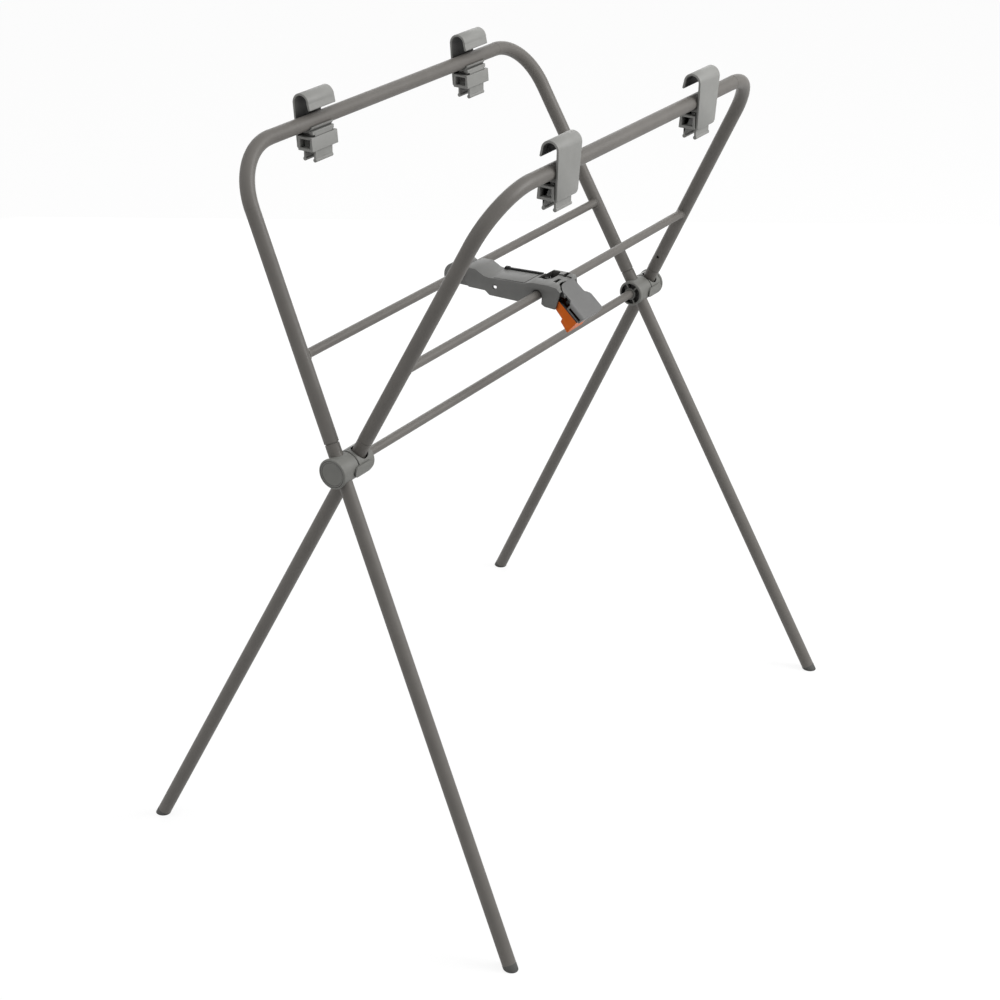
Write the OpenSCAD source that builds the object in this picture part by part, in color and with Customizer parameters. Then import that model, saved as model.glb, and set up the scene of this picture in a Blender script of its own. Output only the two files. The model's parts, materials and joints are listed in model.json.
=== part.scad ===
// Baby bath stand: two crossed tube frames on one fold axis, a lock arm between
// their cross bars, and four clips that hold the bath on the upper tubes.
// X runs along the upper tubes, Y across the stand, Z up. The origin is on the
// floor under the middle. Frame A has its upper tube at +Y; frame B is the same
// frame turned half round. "Near" and "far" mean the -X and the +X end.

/* [Stand] */
// Height of the upper tubes' centre lines above the floor
rail_z = 950; // [900:5:1020]
// Distance between the centre lines of the two upper tubes
rail_gap = 360; // [320:5:420]
// Height of the fold axis above the floor
pivot_z = 590; // [560:5:620]
// Distance between the middle planes of the two hubs
hub_span = 743; // [660:1:820]
// Angle by which each leg leans in, within its frame
leg_splay = 5.9; // [4:0.1:8]
// Height of the cross bars above the floor
bar_z = 719; // [710:1:730]

/* [Tubes] */
// Diameter of the upper frames' tube
tube_d = 19; // [17:0.5:22]
// Wall of the upper frames' tube
tube_wall = 1.2; // [0.8:0.1:2]
// Radius of the upper frames' bends, to the centre line
bend_r = 80; // [60:1:100]
// How much thicker the bends are than the tube, on the radius and inwards alike
bend_step = 0.15; // [0.15:0.05:0.3]
// Diameter of the lower legs
leg_d = 18.4; // [16:0.1:19]
// Wall of the lower legs
leg_wall = 1.2; // [0.8:0.1:1.8]
// Distance from the fold axis up the leg to the end of the upper frame
joint_s = 34.5; // [30:0.5:50]
// Length of the leg's neck inside the upper frame
neck_l = 45; // [30:1:60]
// Diameter of the cross bars and of the axle tube
bar_d = 12; // [10:0.5:14]
// Wall of the cross bars and of the axle tube
bar_wall = 1; // [0.8:0.1:1.5]
// Length of the weld bead at each end of a cross bar
weld_l = 2.5; // [1.5:0.5:4]
// Height along the leg's axis, from the floor to the top of a foot cap's rim
foot_skirt = 7; // [6:1:20]
// Length of a foot cap's plug inside the leg
foot_plug = 20; // [12:1:30]

/* [Cross hole] */
// Distance from the fold axis up frame B's far leg to the hole through it
hole_s = 60.7; // [50:0.1:75]
// Diameter of that hole
hole_d = 4.5; // [3:0.5:6]

/* [Hubs] */
// Diameter of the hub's body
hub_d = 37; // [35:0.5:46]
// Distance from the hub's middle plane to each of its ends
hub_half = 32.5; // [30:0.5:40]
// Distance from the hub's middle plane to each leg
leg_offset = 14; // [13:0.5:18]
// Diameter of the flange at the hub's outer end
flange_d = 39.5; // [37:0.5:50]
// Thickness of that flange
flange_t = 4; // [3:0.5:6]
// Diameter of the cap in the hub's outer end
cap_d = 34.5; // [28:0.5:36]
// Thickness of the cap
cap_t = 2.4; // [1.5:0.1:4]
// Wall of the open inner half
hub_wall = 3.2; // [2.5:0.1:5]
// Thickness of the inner half's ribs
rib_t = 2; // [1.5:0.1:3]
// Diameter of the socket for the axle tube
socket_d = 17; // [15:0.5:20]
// Thickness of the sliding washer between the two halves
washer_t = 1; // [0.5:0.1:2]
// Diameter of that washer
washer_d = 32; // [24:1:35]
// Length of the oval boss on the side of each hub half
boss_l = 36; // [30:1:44]
// How far the boss reaches over the other half
boss_over = 11; // [4:1:14]
// Width of the oval boss
boss_w = 15; // [8:0.5:16]
// How far the boss stands proud of the hub
boss_out = 2.6; // [1.5:0.1:3.5]

/* [Pivot] */
// Diameter of the pivot bolts
bolt_d = 8; // [6:0.5:8]
// Diameter of the bolt head
bolt_head_d = 13; // [11:0.5:14]
// Thickness of the bolt head
bolt_head_t = 4; // [3:0.5:5]
// Size of the key socket in the bolt head, across its flats
key_af = 5; // [3:0.5:6]
// Length of the threaded insert in each end of the axle tube
insert_l = 24; // [18:1:40]

/* [Bath clips] */
// Distance from the middle of the stand to each clip's middle
clip_x = 178; // [150:1:190]
// Width of the hook at its top
hook_w = 54.5; // [48:0.5:64]
// Width of the hook at its foot
hook_foot_w = 49; // [40:0.5:54]
// Thickness of the hook's wall
hook_t = 3; // [2.4:0.1:4]
// Height of the crown's centre above the tube's centre line
crown_h = 27; // [24:0.5:40]
// Outer radius of the crown
crown_r = 12.3; // [11:0.1:16]
// Height of the lip's end above the tube's centre line
lip_h = 18; // [15:0.5:22]
// How far the hook's foot reaches below the tube's centre line
hook_drop = 36; // [34:0.5:44]
// Angle by which the strap leans out
strap_lean = 2.7; // [0:0.1:4]
// Width of the jaw that holds the tube
jaw_w = 45; // [38:0.5:48]
// Width of the jaw's two leaves
leaf_w = 36; // [30:0.5:40]
// Thickness of the jaw's wall
jaw_t = 2.6; // [2:0.1:3.5]
// How far the leaves reach below the tube's centre line
leaf_drop = 50; // [48:0.5:56]
// Length of the locking sleeve along the tube
sleeve_l = 54; // [48:0.5:60]
// Height of the locking sleeve
sleeve_h = 18; // [14:0.5:20]
// Depth of the sleeve's bottom edge below the tube's centre line
sleeve_drop = 34.2; // [32:0.2:38]

/* [Lock arm] */
// Distance from the middle of the stand to the arm's middle
arm_x = -14; // [-40:1:40]
// Width of the arm
arm_w = 44; // [38:1:52]
// Wall of the arm's moulding
arm_t = 3; // [2.4:0.1:4]
// Radius of the barrel round cross bar A
barrel_r = 18; // [15:0.5:19]
// Flat underside of the barrel, below the bar's centre line
barrel_drop = 9.5; // [9:0.5:11]
// Radius of the open notch in the arm's side walls
notch_r = 8; // [7.5:0.5:9]
// Diameter of the hole through the arm's side walls
arm_hole_d = 6.5; // [4:0.5:8]
// Thickness of the two ribs that seat cross bar B
rib_w = 3; // [2:0.5:5]
// How far the end housing bulges on the arm's far side
bulge = 11; // [5:0.5:14]
// Length of the slots in the bridge
slot_l = 13; // [8:0.5:16]
// Width of the slots in the bridge
slot_w = 4.6; // [2:0.2:5]

/* [Grip] */
// Slope of the grip below the horizontal
grip_slope = 41.4; // [30:0.2:50]
// Length of the grip down its slope
grip_l = 43.5; // [36:0.5:50]
// Width of the grip's broad part
grip_w = 58; // [50:0.5:62]
// Depth of the grip's side walls
grip_depth = 9.3; // [7:0.1:10]
// Thickness of the grip's skin
grip_t = 2.4; // [2:0.1:3]
// Radius of the grip's rounded edges
grip_r = 8; // [4:0.5:9]
// Diameter of the grip's screws
screw_d = 3; // [2.5:0.5:4]

/* [Release lever] */
// Diameter of the lever's pin
pin_d = 4; // [3:0.5:5]
// Width of the lever
lever_w = 37; // [30:0.5:37]
// Thickness of the lever's walls
lever_t = 2.4; // [2:0.1:3]
// Width of the catch in the middle of the lever
catch_w = 7; // [5:0.5:8]
// Gap between the catch and cross bar B
catch_gap = 0.3; // [0.2:0.05:0.5]
// Wire of the lever's return spring
wire_d = 1.2; // [0.8:0.1:1.4]
// Number of turns on each side of the spring
turns = 4; // [3:1:6]

/* [Fits] */
// Radial clearance of a shaft that turns in its bore
running = 0.08; // [0.04:0.01:0.1]
// Radial clearance of parts that are pushed together and stay put
snug = 0.03; // [0.02:0.01:0.05]
// Gap between moulded parts that pass each other
part_gap = 0.3; // [0.3:0.05:0.5]
// Gap on the moving side of each sliding face in the hubs
face_gap = 0.1; // [0.05:0.05:0.2]

/* [Hidden] */
$fn = 72;

// Places that follow from the driving sizes
lean = atan(rail_gap / 2 / (rail_z - pivot_z));
rail_v = (rail_z - pivot_z) / cos(lean);
bar_v = (bar_z - pivot_z) / cos(lean);
bar_y = (bar_z - pivot_z) * tan(lean);
bend_turn = 90 - leg_splay;
bend_back = bend_r * tan(bend_turn / 2);
neck_d = tube_d - 2 * tube_wall - 2 * snug;
neck_shoulder = 2;
foot_d = leg_d + 0.3;
foot_s = -pivot_z / cos(lean) / cos(leg_splay);
leg_bore = leg_d - 2 * leg_wall;
far_out = 200;

// Colours seen on the stand
tube_grey = [0.40, 0.39, 0.38];
hub_grey = [0.45, 0.45, 0.44];
clip_grey = [0.58, 0.60, 0.58];
arm_grey = [0.42, 0.42, 0.41];
dark_grey = [0.20, 0.20, 0.20];
steel = [0.72, 0.72, 0.70];
lever_orange = [0.85, 0.42, 0.14];

function half_span(v) = hub_span / 2 - v * tan(leg_splay);
rail_half = half_span(rail_v) - bend_back;
run_in = 1;

// ---------------------------------------------------------------- placing

// Frame A's own plane: X along the fold axis, Z up the leaning frame
module in_plane() translate([0, 0, pivot_z]) rotate([-lean, 0, 0]) children();

// A leg's own axis, k = -1 for the near leg and 1 for the far one
module on_leg(k)
  in_plane() translate([k * hub_span / 2 - leg_offset, 0, 0]) rotate([0, -k * leg_splay, 0]) children();

// Frame B is frame A turned half round
module turned() rotate([0, 0, 180]) children();

// The fold axis at a hub's middle plane, X pointing out of the stand
module at_hub(k) translate([k * hub_span / 2, 0, pivot_z]) flip_x(k) children();

module flip_x(k) if (k < 0) mirror([1, 0, 0]) children(); else children();

module along_x(x0, x1) translate([x0, 0, 0]) rotate([90, 0, 90]) linear_extrude(x1 - x0) children();

module rod_x(d, x0, x1) translate([x0, 0, 0]) rotate([0, 90, 0]) cylinder(d = d, h = x1 - x0);

module ring(od, wall) difference() {
  circle(d = od);
  circle(d = od - 2 * wall);
}

// ---------------------------------------------------------------- frames

// An upper tube's outside or inside. Its bends are a little thicker than its straight
// stretches, which run a little way into them.
module tube_run(r, bend_more, end_more) {
  for (turn = [0, 180]) rotate([0, 0, turn]) {
    translate([-hub_span / 2, 0, 0]) rotate([0, leg_splay, 0]) translate([0, 0, joint_s - end_more])
      rotate([0, 0, 180]) cylinder(r = r, h = rail_v / cos(leg_splay) - bend_back - joint_s + end_more + run_in);
    translate([-rail_half, 0, rail_v - bend_r]) rotate([90, 0, 0]) rotate([0, 0, 90])
      rotate_extrude(angle = bend_turn) translate([bend_r, 0]) circle(r = r + bend_more);
  }
  translate([-rail_half - run_in, 0, rail_v]) rotate([0, 90, 0]) cylinder(r = r, h = 2 * (rail_half + run_in));
}

// The hole right through the tube and the neck inside it
module cross_hole() on_leg(-1) translate([0, 0, hole_s]) rod_x(hole_d, -tube_d, tube_d);

module upper_frame(with_hole) color(tube_grey) difference() {
  in_plane() translate([-leg_offset, 0, 0]) tube_run(tube_d / 2, bend_step, 0);
  in_plane() translate([-leg_offset, 0, 0]) tube_run(tube_d / 2 - tube_wall, -bend_step, 1);
  if (with_hole) cross_hole();
}

// A bar between the legs, its ends coped to them, with a bead of weld at each end
module cross_bar() color(tube_grey) difference() {
  in_plane() translate([0, 0, bar_v]) difference() {
    union() {
      rod_x(bar_d, -half_span(bar_v) - leg_offset, half_span(bar_v) - leg_offset);
      for (k = [-1, 1])
        translate([k * (half_span(bar_v) - tube_d / 2 / cos(leg_splay)) - leg_offset, 0, 0]) rotate([0, -k * 90, 0])
          translate([0, 0, -bar_d / 4]) cylinder(d1 = bar_d + 3, d2 = bar_d, h = weld_l + bar_d / 4);
    }
    rod_x(bar_d - 2 * bar_wall, -hub_span, hub_span);
  }
  for (k = [-1, 1]) on_leg(k) cylinder(d = tube_d, h = rail_v);
}

module leg(k, with_hole = false) color(tube_grey) on_leg(k) difference() {
  rotate_extrude() polygon([
    [leg_bore / 2, foot_s + foot_skirt],
    [leg_d / 2, foot_s + foot_skirt],
    [leg_d / 2, joint_s - neck_shoulder],
    [neck_d / 2, joint_s - neck_shoulder / 2],
    [neck_d / 2, joint_s + neck_l],
    [neck_d / 2 - leg_wall, joint_s + neck_l],
    [neck_d / 2 - leg_wall, joint_s - neck_shoulder / 2],
    [leg_bore / 2, joint_s - neck_shoulder]
  ]);
  rotate([0, k * leg_splay, 0]) rod_x(bolt_d + 2 * running, -leg_d, leg_d);
  if (with_hole) translate([0, 0, hole_s]) rod_x(hole_d, -tube_d, tube_d);
}

// Plugs in the legs' lower ends, with a rim that is cut flat where it stands on the floor
module foot_caps() color(dark_grey) difference() {
  for (k = [-1, 1]) on_leg(k) translate([0, 0, foot_s]) {
    translate([0, 0, -foot_d]) cylinder(d = foot_d, h = foot_d + foot_skirt - 1);
    translate([0, 0, foot_skirt - 1]) cylinder(d1 = foot_d, d2 = leg_d, h = 1);
    cylinder(d = leg_bore - 2 * snug, h = foot_skirt + foot_plug);
  }
  translate([-far_out * 4, -far_out * 4, -far_out]) cube([far_out * 8, far_out * 8, far_out]);
}

// ---------------------------------------------------------------- hubs

// The leg's bore through a hub half whose leg stands at x, in the hub's own axes
module leg_bore_at(x)
  rotate([-lean, 0, 0]) translate([x, 0, 0]) rotate([0, -leg_splay, 0])
    cylinder(d = leg_d + 2 * snug, h = far_out, center = true);

// An oval boss on the hub's side. It starts on its own half, in front of x, and
// reaches over the other half, clear of it.
module side_boss(x) rotate([-98, 0, 0]) difference() {
  middle = boss_l / 2 - boss_over;
  straight = boss_l - boss_w;
  union() {
    translate([middle - straight / 2, -boss_w / 2, 0]) cube([straight, boss_w, hub_d]);
    for (k = [-1, 1]) translate([middle + k * straight / 2, 0, 0]) cylinder(d = boss_w, h = hub_d);
  }
  difference() {
    rod_x(4 * hub_d, -far_out, far_out);
    rod_x(hub_d + 2 * boss_out, -far_out, far_out);
  }
  rod_x(hub_d + 2 * part_gap, -far_out, x);
}

// The half at the hub's outer side: flange, cap seat, bolt seat
module hub_outer(play) color(hub_grey) difference() {
  start = washer_t / 2 + play;
  union() {
    rotate([0, 90, 0]) rotate_extrude() polygon([
      [0, start], [hub_d / 2 - 0.8, start], [hub_d / 2, start + 0.8],
      [hub_d / 2, hub_half - flange_t - 1], [flange_d / 2, hub_half - flange_t],
      [flange_d / 2, hub_half - 1], [flange_d / 2 - 1, hub_half], [0, hub_half]
    ]);
    side_boss(start);
  }
  leg_bore_at(leg_offset);
  rod_x(bolt_d + 2 * running, 0, hub_half + 1);
  rod_x(cap_d + 2 * snug, hub_half - cap_t, hub_half + 1);
  rod_x(bolt_head_d + 1, hub_half - cap_t - bolt_head_t - 1, hub_half);
}

// The half at the hub's inner side: a shell with a socket for the axle and ribs
module hub_inner(play) color(hub_grey) difference() {
  start = washer_t / 2 + play;
  pocket = hub_half - leg_offset - leg_d / 2 - 2;
  union() {
    rotate([0, -90, 0]) rotate_extrude() polygon([
      [0, start], [hub_d / 2 - 0.8, start], [hub_d / 2, start + 0.8],
      [hub_d / 2, hub_half - 1], [hub_d / 2 - 1, hub_half], [0, hub_half]
    ]);
    mirror([1, 0, 0]) side_boss(start);
    rod_x(socket_d, -hub_half - 2, -hub_half + 1);
  }
  leg_bore_at(-leg_offset);
  rod_x(bolt_d + 2 * running, -hub_half, 0);
  rod_x(bar_d + 2 * running, -hub_half - 3, -leg_offset - leg_d / 2 - part_gap);
  difference() {
    union() {
      rod_x(hub_d - 2 * hub_wall, -hub_half - 1, -hub_half + pocket);
      for (k = [-1, 1]) intersection() {
        rod_x(hub_d - 2 * hub_wall, -hub_half - 1, -start - 3);
        rotate([-lean, 0, 0]) translate([-hub_half - 1, k > 0 ? leg_d / 2 + 1.6 : -hub_d, -hub_d / 2])
          cube([hub_half, hub_d - leg_d / 2 - 1.6, hub_d]);
      }
    }
    rod_x(socket_d, -hub_half - 2, 0);
    for (a = [-lean, -lean + 68]) rotate([a, 0, 0])
      translate([-hub_half - 2, -rib_t / 2, -hub_d]) cube([hub_half, rib_t, 2 * hub_d]);
  }
}

module hub_cap() color(hub_grey) rotate([0, 90, 0]) rotate_extrude() polygon([
  [0, hub_half - cap_t], [cap_d / 2, hub_half - cap_t], [cap_d / 2, hub_half - 0.5], [cap_d / 2 - 0.5, hub_half],
  [cap_d / 2 - 2, hub_half], [cap_d / 2 - 2.5, hub_half - 0.5], [0, hub_half - 0.5]
]);

module pivot_washer() color("whitesmoke") rotate([0, 90, 0]) translate([0, 0, -washer_t / 2])
  linear_extrude(washer_t) difference() {
    circle(d = washer_d);
    circle(d = bolt_d + 2 * running);
  }

// Head, shank and the key socket, in the hub's own axes
module pivot_bolt(head_gap) color(steel) difference() {
  seat = hub_half - cap_t - bolt_head_t - 1 + head_gap;
  tip = -(axle_end() + insert_l - 2);
  union() {
    rod_x(bolt_d, tip, seat);
    rotate([0, 90, 0]) rotate_extrude() polygon([
      [0, seat], [bolt_head_d / 2, seat], [bolt_head_d / 2, seat + bolt_head_t - 1],
      [bolt_head_d / 2 - 1, seat + bolt_head_t], [0, seat + bolt_head_t]
    ]);
  }
  translate([seat + bolt_head_t - 2.2, 0, 0]) rotate([0, 90, 0]) cylinder(d = key_af / cos(30), h = 3, $fn = 6);
}

// Inner end of the axle, seen from a hub's middle plane
function axle_end() = leg_offset + leg_d / 2 / cos(leg_splay) + bar_d / 2 * tan(leg_splay) + part_gap;

module axle_tube() color(tube_grey) translate([0, 0, pivot_z]) difference() {
  rod_x(bar_d, -hub_span / 2 + axle_end(), hub_span / 2 - axle_end());
  rod_x(bar_d - 2 * bar_wall, -hub_span, hub_span);
}

module axle_inserts() color(steel) for (k = [-1, 1]) at_hub(k) difference() {
  rod_x(bar_d - 2 * bar_wall, -axle_end() - insert_l, -axle_end());
  rod_x(bolt_d, -hub_half * 2, 0);
}

// ---------------------------------------------------------------- bath clips
// Own axes: X along the tube, Y towards the bath, Z up, origin on the tube's centre line

strap_in = tube_d / 2 + part_gap;
strap_i = function (h) -strap_in - h * tan(strap_lean);
crown_i = strap_i(crown_h) - hook_t + crown_r;
lip_i = crown_i + crown_r + 1.8;
sleeve_top = -sleeve_drop + sleeve_h;
cavity_in = 12.7;
sleeve_wall = 1.6;

module at_clip(k) translate([k * clip_x, rail_gap / 2, rail_z]) rotate([0, 0, 180]) children();

module hook() color(clip_grey) difference() {
  union() {
    along_x(-hook_w / 2, hook_w / 2) difference() {
      translate([crown_i, crown_h]) circle(r = crown_r);
      translate([crown_i, crown_h]) circle(r = crown_r - hook_t);
      translate([-far_out / 2, crown_h - 0.5 - far_out]) square([far_out, far_out]);
    }
    along_x(-hook_w / 2, hook_w / 2) polygon([
      [strap_i(crown_h) - hook_t, crown_h], [strap_i(crown_h), crown_h],
      [strap_i(-hook_drop), -hook_drop], [strap_i(-hook_drop) - hook_t + 1, -hook_drop],
      [strap_i(-hook_drop + 2) - hook_t, -hook_drop + 2]
    ]);
    along_x(-hook_w / 2, hook_w / 2) polygon([
      [crown_i + crown_r - hook_t, crown_h], [crown_i + crown_r, crown_h],
      [lip_i, lip_h + hook_t / 2], [lip_i - hook_t, lip_h + hook_t / 2]
    ]);
    translate([0, lip_i - hook_t / 2, lip_h + hook_t / 2]) rod_x(hook_t, -hook_w / 2, hook_w / 2);
  }
  for (k = [-1, 1]) flip_x(k) translate([0, far_out / 2, 0]) rotate([90, 0, 0]) linear_extrude(far_out) hook_side();
}

// What is cut away beside the hook, seen from the front: it narrows downwards and its
// foot has cut corners
module hook_side() polygon([
  [hook_w / 2, crown_h], [hook_foot_w / 2, -hook_drop + 4], [hook_foot_w / 2 - 4, -hook_drop - 1],
  [far_out, -hook_drop - 1], [far_out, crown_h]
]);

// A cradle under the tube, and two leaves that hang from it and end in round toes
module jaw() color(clip_grey) {
  cradle_in = tube_d / 2 + running;
  outer_i = strap_i(-sleeve_drop) + part_gap + sleeve_wall + part_gap;
  inner_i = cavity_in - part_gap;
  toe = jaw_t;
  along_x(-jaw_w / 2, jaw_w / 2) difference() {
    union() {
      intersection() {
        circle(r = cradle_in + jaw_t);
        translate([-far_out, -far_out - 3.5]) square([2 * far_out, far_out]);
      }
      polygon([
        [strap_i(-6), -6], [0, -6], [0, -cradle_in - jaw_t],
        [strap_i(-cradle_in - jaw_t), -cradle_in - jaw_t]
      ]);
      polygon([[7, -9], [12.2, -9], [12.2, -13.6], [11, -14.6], [5, -12]]);
    }
    circle(r = cradle_in);
    polygon([
      [strap_i(far_out), far_out], [strap_i(-far_out), -far_out], [-far_out, -far_out], [-far_out, far_out]
    ]);
  }
  along_x(-leaf_w / 2, leaf_w / 2) {
    translate([outer_i, -cradle_in - jaw_t - 2]) square([inner_i - outer_i, 3]);
    for (i = [outer_i, inner_i - jaw_t]) {
      translate([i, -leaf_drop + toe]) square([jaw_t, leaf_drop - toe - cradle_in - jaw_t]);
      translate([i + jaw_t / 2, -leaf_drop + toe]) circle(r = toe);
    }
  }
}

// The sleeve round both leaves, its inner wall leaning out and its ends windowed
module sleeve() color(clip_grey) difference() {
  outer_i = strap_i(-sleeve_drop) + part_gap;
  translate([0, 0, -sleeve_drop]) along_x(-sleeve_l / 2, sleeve_l / 2) polygon([
    [outer_i, 0], [cavity_in + 2, 0], [cavity_in + 2.5, 0.6], [cavity_in + 1, sleeve_h], [outer_i, sleeve_h]
  ]);
  translate([-leaf_w / 2 - part_gap, outer_i + sleeve_wall, -far_out / 2])
    cube([leaf_w + 2 * part_gap, cavity_in - outer_i - sleeve_wall, far_out]);
  for (k = [-1, 1]) flip_x(k) translate([leaf_w / 2 - 1, outer_i + 2.9, -sleeve_drop + 3.5])
    cube([sleeve_l, cavity_in - outer_i - 4.6, sleeve_h - 6.5]);
}

// ---------------------------------------------------------------- lock arm
// Own axes: X and Y of the stand, Z from the cross bars' centre line

module at_arm() translate([arm_x, 0, bar_z]) children();

arm_half = arm_w / 2;
inner_half = arm_half - arm_t;
roof_b = 17;
pin_y = -bar_y - 27;
pin_z = -6;
tongue_z = 4.5;
pin_half = inner_half + 1.8;
spring_r = pin_d / 2 + part_gap + wire_d / 2;
tongue_t = 3;
screw_x = 10;
screw_y = -bar_y - 20;
strip_w = 3.5;

// The arm's side, from the barrel on bar A to the housing past bar B
module arm_side() polygon([
  [bar_y - 16.6, 0], [bar_y - 16.6, 17.3], [bar_y - 33, 17.7], [bar_y - 40, 14.3],
  [bar_y - 46.5, 10.9], [bar_y - 55, 9.8], [-bar_y + 23, 12.3],
  [-bar_y + 7, roof_b - 0.6], [-bar_y - 17, roof_b + 0.4], [-bar_y - 29.5, roof_b - 1.2],
  [-bar_y - 35.5, 11], [-bar_y - 32.4, 0.2], [-bar_y - 28.3, -13.8], [-bar_y - 12.6, -13.1],
  [-bar_y - 5.8, -9.5], [-bar_y + 10, -9.5], [-bar_y + 20, -14], [bar_y - 56, -14.4],
  [bar_y - 49, -9.2], [bar_y - 23, -9.4]
]);

// The room inside the arm: the same outline one wall further in, open below
module arm_room() polygon([
  [bar_y - barrel_r - arm_t, -far_out], [bar_y - barrel_r - arm_t, 17.4 - arm_t], [bar_y - 32, 17.6 - arm_t],
  [bar_y - 39, 14.3 - arm_t], [bar_y - 46, 10.9 - arm_t], [bar_y - 55, 9.8 - arm_t],
  [-bar_y + 23, 12.3 - arm_t], [-bar_y + 7, roof_b - 0.6 - arm_t], [-bar_y - 17, roof_b + 0.4 - arm_t],
  [-bar_y - 29, roof_b - 1.2 - arm_t], [-bar_y - 33, 11 - arm_t], [-bar_y - 60, 11 - arm_t],
  [-bar_y - 60, -far_out]
]);

// The way by which bar B leaves the arm: down and towards bar A as the arm lifts
module bar_way(r) translate([-bar_y, 0]) {
  circle(r = r);
  polygon([[-r, 0], [r * cos(28), r * sin(28)], [r + 20, -30], [-r + 2, -30]]);
}

module lock_arm() color(arm_grey) at_arm() difference() {
  union() {
    difference() {
      union() {
        along_x(-arm_half, arm_half) arm_side();
        far_bulge();
      }
      along_x(-inner_half, inner_half) arm_room();
    }
    // The barrel, a little narrower than the arm and flat below
    along_x(-arm_half + arm_t, arm_half - arm_t) difference() {
      translate([bar_y, 0]) circle(r = barrel_r);
      translate([bar_y - far_out, -barrel_drop - far_out]) square([far_out * 2, far_out]);
    }
    along_x(-inner_half, inner_half) translate([bar_y - barrel_r - arm_t, -barrel_drop])
      square([barrel_r, barrel_drop + 14]);
    // The raised panel on the arm's top
    along_x(-arm_half + 2, arm_half - 5.5) polygon([
      [-bar_y + 22, 11], [-bar_y + 19.5, 13.8], [3, 11], [5, 9]
    ]);
    // Two ribs along the arm, which seat bar B
    for (k = [-1, 1]) flip_x(k) along_x(catch_w / 2 + 0.6, catch_w / 2 + 0.6 + rib_w) difference() {
      arm_side();
      translate([-far_out, -far_out - 6]) square([2 * far_out, far_out]);
      translate([-bar_y - 12.5 - far_out, -far_out / 2]) square([far_out, far_out]);
    }
    // Cross webs
    for (y = [bar_y - 36, -bar_y + 26]) translate([-inner_half - 0.5, y, -9])
      cube([2 * inner_half + 1, 2.5, 18.6]);
    // Bosses for the grip's screws
    for (k = [-1, 1]) translate([k * screw_x, screw_y, tongue_z + tongue_t])
      cylinder(d = screw_d + 5, h = roof_b - tongue_z - tongue_t - 1);
  }
  along_x(-arm_half - 1, arm_half + 1) translate([bar_y, 0]) circle(r = bar_d / 2 + running);
  // Open notch in the walls, close seat in the ribs
  along_x(-arm_half - 1, -inner_half + 0.5) bar_way(notch_r);
  along_x(inner_half - 0.5, arm_half + bulge + 1) bar_way(notch_r);
  along_x(-inner_half, inner_half) bar_way(bar_d / 2 + part_gap);
  along_x(-arm_half - 1, arm_half + 1) translate([0.3, -1]) circle(d = arm_hole_d);
  along_x(arm_half - strip_w - snug, arm_half + 1) strip_side(snug);
  top_recess();
  bridge_slots();
  along_x(-pin_half, pin_half) translate([pin_y, pin_z]) circle(r = pin_d / 2);
  for (k = [-1, 1]) translate([k * screw_x, screw_y, tongue_z]) cylinder(d = screw_d, h = 9);
}

// The dark strip in the arm's far top edge, which ends in a nub towards bar A
module strip_side(play) polygon([
  [-bar_y + 15.5 - play, 12.6 - play], [-bar_y + 15.5 - play, 15.8], [bar_y - 62.5, 12.9],
  [bar_y - 61, 14.2], [bar_y - 55.5, 13.8], [bar_y - 54 + play, 12], [bar_y - 54 + play, 8.2 - play],
  [-bar_y + 23, 10.7 - play]
]);

module arm_strip() color(dark_grey) at_arm() along_x(arm_half - strip_w, arm_half) strip_side(0);

// The housing's bulge on the far side, past bar B
module far_bulge() {
  out = arm_half + bulge;
  difference() {
    along_x(arm_half - 0.5, out) polygon([
      [-bar_y - 32.4, 0.2], [-bar_y - 33.5, 6], [-bar_y - 31, roof_b - 2], [-bar_y - 26, roof_b + 1],
      [-bar_y - 14, roof_b + 2], [-bar_y + 6, roof_b + 1.4], [-bar_y + 14, roof_b - 4],
      [-bar_y + 14, -6], [-bar_y + 9, -9.5], [-bar_y - 28, -9.5]
    ]);
    for (s = [-bar_y + 14, -bar_y - 34]) translate([out, s, -far_out / 2]) rotate([0, 0, 45])
      translate([-5, -5, 0]) cube([10, 10, far_out]);
    along_x(arm_half - 1, out - arm_t) polygon([
      [-bar_y - 29, -far_out], [-bar_y - 29, 9], [-bar_y - 24, roof_b - 2.2],
      [-bar_y + 5, roof_b - 2], [-bar_y + 10, 9], [-bar_y + 10, -far_out]
    ]);
  }
}

// The deep opening in the top, over bar B
module top_recess() translate([0, 0, 9.5]) linear_extrude(far_out) polygon([
  [3, -bar_y - 7], [-1.5, -bar_y + 0.5], [3, -bar_y + 13.5], [arm_half + 3, -bar_y + 12],
  [arm_half + bulge - arm_t, -bar_y + 6], [arm_half + bulge - arm_t, -bar_y - 4], [arm_half + 4, -bar_y - 7.5]
]);

module bridge_slots() for (p = [[-5, -bar_y - 19.5], [arm_half - 3, -bar_y - 19.5], [4, -bar_y - 32]])
  translate([p[0], p[1], 9]) cube([slot_l, slot_w, far_out]);

// ---------------------------------------------------------------- grip
// The grip's own axes: X along the bars, Y up its slope, Z out of its top face

grip_y = -bar_y - 39;
grip_z = 9.6;
lever_half = lever_w / 2;

module at_grip() translate([0, grip_y, grip_z]) rotate([grip_slope, 0, 0]) children();

// Plan of the grip: a neck at the housing, then the broad part with its far shoulder
module grip_plan(inset) {
  right = grip_w - arm_half - inset;
  left = -arm_half + inset;
  polygon([
    [left + 5, 14], [left + 6.5, -12], [left + 1, -17], [left, -18], [left, -grip_l + 1.2 + inset],
    [right - 14, -grip_l + inset], [right - 5, -grip_l + 2.5 + inset], [right, -grip_l + 7 + inset],
    [right, -22], [arm_half + 3 - inset, -12], [arm_half - inset, -10], [arm_half - 1 - inset, 14]
  ]);
}

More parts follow.
